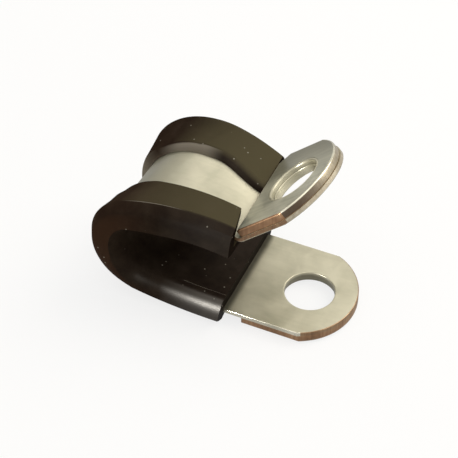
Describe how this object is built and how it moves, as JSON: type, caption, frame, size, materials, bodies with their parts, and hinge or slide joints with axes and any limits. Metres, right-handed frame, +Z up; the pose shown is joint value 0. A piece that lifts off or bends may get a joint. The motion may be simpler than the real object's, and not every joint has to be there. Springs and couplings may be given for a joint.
{
  "type": "rubber-lined hose clamp",
  "caption": "Open rubber-lined P-clip hose clamp: a steel strip bent into a loop, with bolt-hole lugs, reinforcing plates and a rubber channel lining.",
  "frame": {"origin": "centre of the lower lug's bolt hole, on the face of the lower reinforcing plate that bolts down", "axes": "+X out along the lower lug and away from the loop, +Y across the strip, +Z up from the bolted face towards the upper lug"},
  "size_m": [0.034, 0.0179, 0.0251],
  "materials": {
    "zinc_plated_strip": "satin",
    "zinc_plated_plate": "satin",
    "black_rubber": "matt"
  },
  "bodies": {
    "root": {"band": "zinc_plated_strip", "rubber_lining": "black_rubber", "upper_reinforcing_plate": "zinc_plated_plate", "lower_reinforcing_plate": "zinc_plated_plate"}
  },
  "joints": []
}
